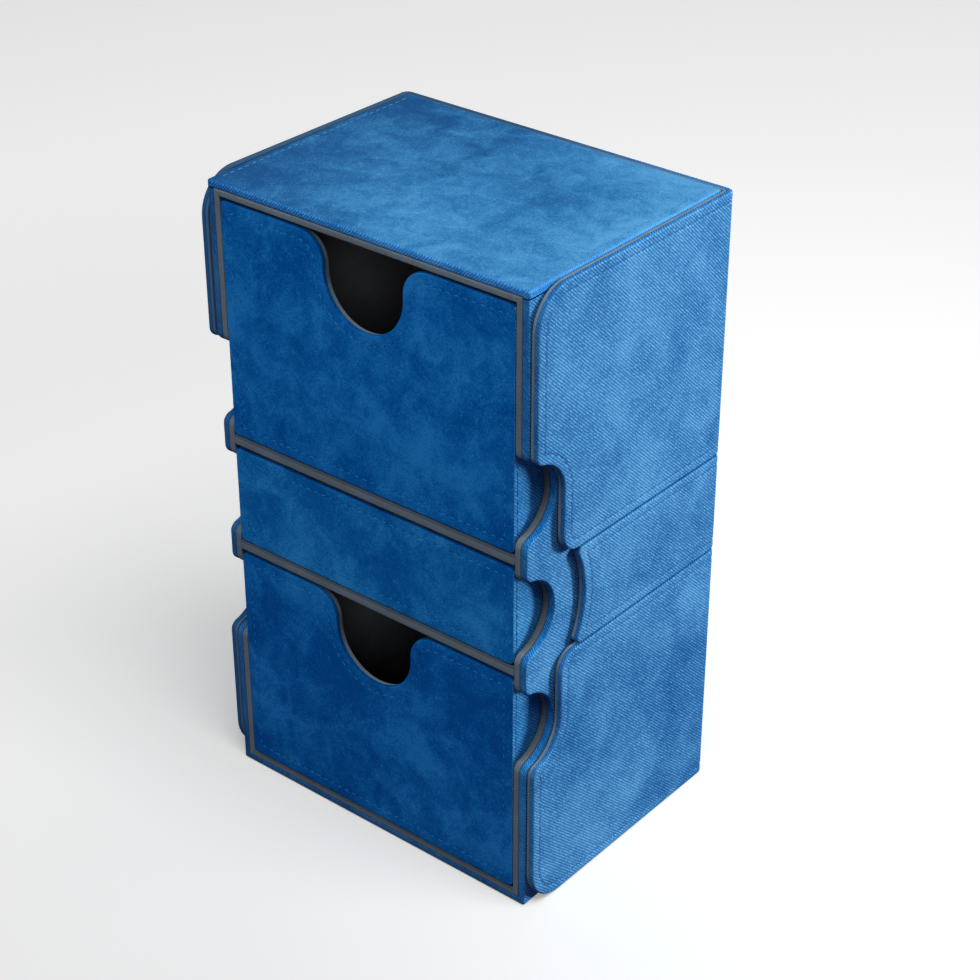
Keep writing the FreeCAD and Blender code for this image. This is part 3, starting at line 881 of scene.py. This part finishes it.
def makeLeaf(leaf, look=leafLook):
    steps = look["steps"]
    low, high = nodeBox(leaf + "_spine")
    liningNear, liningFar = nodeBox(leaf + "_spine_lining")
    outerHalf = nodeBox(leaf + "_right_flap")[1][0]
    lift, unroll, flat, bend = foldLift(leaf, outerHalf, high[1], look["fold"])
    corners = leafOutline(leaf, unroll)
    columns = foldColumns(corners, flat, bend)
    profile = edgeProfile(high[1] - low[1], look["soft"], look["back"], look["groove"])
    wrap = slab(leaf + "Wrap", corners, profile, lift, [twill, flapEdge], columns, steps, rim=1)
    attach(wrap, leaf)
    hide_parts(leaf + "_left_flap", leaf + "_right_flap", leaf + "_spine")

    backHalf = nodeBox(leaf + "_right_flap_lining")[1][0]
    innerLift, backUnroll, backFlat, backBend = foldLift(leaf, backHalf, liningFar[1], look["liningFold"])
    backing = leafOutline(leaf, backUnroll, look["liningRise"])
    backProfile = edgeProfile(liningFar[1] - liningNear[1], look["liningSoft"], look["liningSoft"])
    liningPiece = slab(leaf + "Lining", backing, backProfile + (look["liningInset"], 0), innerLift,
                       [flapLining, flapLiningEdge], foldColumns(backing, backFlat, backBend), steps, rim=1)
    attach(liningPiece, leaf)
    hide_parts(leaf + "_left_flap_lining", leaf + "_right_flap_lining", leaf + "_spine_lining")

    path = roundLoop(corners, look["groove"]["inset"], steps, columns)
    stitches(leaf + "Stitches", path, lambda s, z, d: lift(s, z, d + look["groove"]["depth"]),
             leaf, flapThread)


for leafName in ("upper_leaf", "middle_leaf", "lower_leaf"):
    makeLeaf(leafName)
    print(leafName, "made")

# nodes that show as they are
plainFinish = {"liner": darkLining, "magnets": plate, "crease": twill}
for nodeName, piece in frame["nodes"].items():
    kind = nodeName.split("_")[-1]
    if kind in plainFinish:
        piece.data.materials.clear()
        piece.data.materials.append(plainFinish[kind])

# stage: a pale floor that glows more to the right, with the camera at the photograph's place; a light reaches
# all, the floor, the box, its outside without the drawers' sides, those sides, or the drawers' insides
studio = {
    "floorSize": 8.0, "floor": (0.86, 0.86, 0.86, 1), "right": (0.773, 0.635),
    "glow": [(-0.08, 0.3), (0.12, 0.46)], "glowLift": (0.054, 0.051, 0.0), "near": (-0.1, 0.03),
    "nearDim": 0.1, "far": (0.25, 0.55), "farGlow": 0.4, "outer": (0.8, 2.2), "outerGlow": 0.25,
    "wallReach": 3.9, "wallBend": 0.6, "wallHeight": 4.0, "bendSteps": 9, "turnSteps": 96,
    "wallGlow": (0.72, 0.72, 0.72, 1), "wallTopGlow": (0.8, 0.8, 0.8, 1),
    "world": (0.45, 0.48, 1.0, 1), "worldStrength": 0.115, "lens": 84.937, "sensor": 36.0, "clip": 0.01,
    "camera": (0.35344, -0.41997, 0.41675), "forward": (-0.54734, 0.66514, -0.50795),
    "lights": {  # place, aim, size, power and what it reaches
        "keyLight": ((1.17, 0.91, 0.69), (0, 0, 0.09), 0.4, 30.5, "outside"),
        "sideLight": ((1.17, 0.91, 0.16), (0, 0, 0.09), 0.4, 23.0, "sides"),
        "frontLight": ((0.0, -0.55, 0.75), (0, 0, 0.09), 0.45, 3.25, "box"),
        "insideLight": ((0.9, -1.0, 0.75), (0, 0, 0.1), 0.4, 3.2, "liner"),
        "backLight": ((-1.4, 0.7, 0.2), (0, 0, 0.09), 0.6, 7.0, "box"),
        "floorLight": ((0.85, 0.3, 1.2), (0, 0, 0), 0.7, 3.0, "floor"),
        "topLight": ((0.5, -0.25, 1.5), (0.1, 0, 0.1), 1.1, 15.5, "all"),
    },
}


def place(name, data, at, forward):
    # a light or camera that looks along forward
    stand = bpy.data.objects.new(name, data)
    stand.location = at
    stand.rotation_euler = Vector(forward).to_track_quat("-Z", "Y").to_euler()
    bpy.context.collection.objects.link(stand)
    return stand


def buildStudio():
    ground = Finish("paleFloor", Roughness=0.75, Emission_Strength=1.0, Base_Color=studio["floor"])
    # the glow grows along the camera's right, falls off in front of the box and evens out far from it
    x, y = ground.axes()[:2]
    rightX, rightY = studio["right"]
    (leftPlace, leftGlow), (rightPlace, rightGlow) = studio["glow"]
    across, away = x * rightX + y * rightY, y * rightX - x * rightY
    level = leftGlow + (rightGlow - leftGlow) * ground.step(across, leftPlace, rightPlace)
    level = level - (1 - ground.step(away, *studio["near"])) * studio["nearDim"]
    spread = (x * x + y * y) ** 0.5
    far = ground.step(spread, *studio["far"])
    level = level * (1 - far) + far * studio["farGlow"]
    level = level + ground.step(spread, *studio["outer"]) * studio["outerGlow"]
    tints = [level + lift for lift in studio["glowLift"]]
    ground.feed("Emission Color", ground.shade.node("ShaderNodeCombineColor", None, {
        "Red": tints[0], "Green": tints[1], "Blue": tints[2]}))
    spots = np.array([(-1, -1, 0), (1, -1, 0), (1, 1, 0), (-1, 1, 0)]) * studio["floorSize"] / 2
    floor = putMesh("floor", spots / mm, [(0, 1, 2, 3)], [ground.material])
    floor.visible_diffuse = False

    # backdrop: a cove, its profile of run and height carried round a full turn; only the camera sees it
    bend = np.linspace(0, np.pi / 2, studio["bendSteps"])
    turn = np.linspace(0, 2 * np.pi, studio["turnSteps"], endpoint=False)
    run = np.append(studio["wallReach"] - studio["wallBend"] * (1 - np.sin(bend)), studio["wallReach"])
    height = np.append(studio["wallBend"] * (1 - np.cos(bend)), studio["wallHeight"])
    cove = np.stack([np.outer(run, np.cos(turn)), np.outer(run, np.sin(turn)),
                     np.repeat(height[:, None], len(turn), 1)], 2)
    backdrop = Finish("paleBackdrop", Roughness=1.0, Emission_Strength=1.0, Base_Color=(0, 0, 0, 1))
    climb = backdrop.step(backdrop.axes()[2], 0.0, studio["wallHeight"])
    backdrop.feed("Emission Color", backdrop.mix(climb, studio["wallGlow"], studio["wallTopGlow"]))
    wall = putMesh("backdrop", cove.reshape(-1, 3) / mm, ringFaces(len(run), len(turn)).tolist(),
                   [backdrop.material])
    wall.visible_diffuse = wall.visible_glossy = wall.visible_shadow = False

    world = bpy.data.worlds.new("studioWorld")
    world.use_nodes = True
    sky = world.node_tree.nodes["Background"].inputs
    sky["Color"].default_value, sky["Strength"].default_value = studio["world"], studio["worldStrength"]
    bpy.context.scene.world = world

    liners = [piece for node, piece in frame["nodes"].items() if node.endswith("_liner")]
    linked = {"floor": [floor], "sides": sidePieces, "liner": liners}
    unlinked = {"box": [floor], "outside": [floor] + sidePieces}
    for name, (at, aim, size, power, reach) in studio["lights"].items():
        lamp = bpy.data.lights.new(name, "AREA")
        lamp.shape, lamp.size, lamp.energy = "DISK", size, power
        stand = place(name, lamp, at, Vector(aim) - Vector(at))
        if reach == "all":
            continue
        group = bpy.data.collections.new(name + "Group")
        for piece in linked.get(reach) or unlinked[reach]:
            group.objects.link(piece)
        for member in group.collection_objects:
            member.light_linking.link_state = "INCLUDE" if reach in linked else "EXCLUDE"
        stand.light_linking.receiver_collection = group

    lens = bpy.data.cameras.new("camera")
    lens.lens, lens.sensor_width, lens.clip_start = studio["lens"], studio["sensor"], studio["clip"]
    bpy.context.scene.camera = place("camera", lens, studio["camera"], studio["forward"])


buildStudio()
bpy.context.scene.view_settings.view_transform = "Standard"
print("studio made")
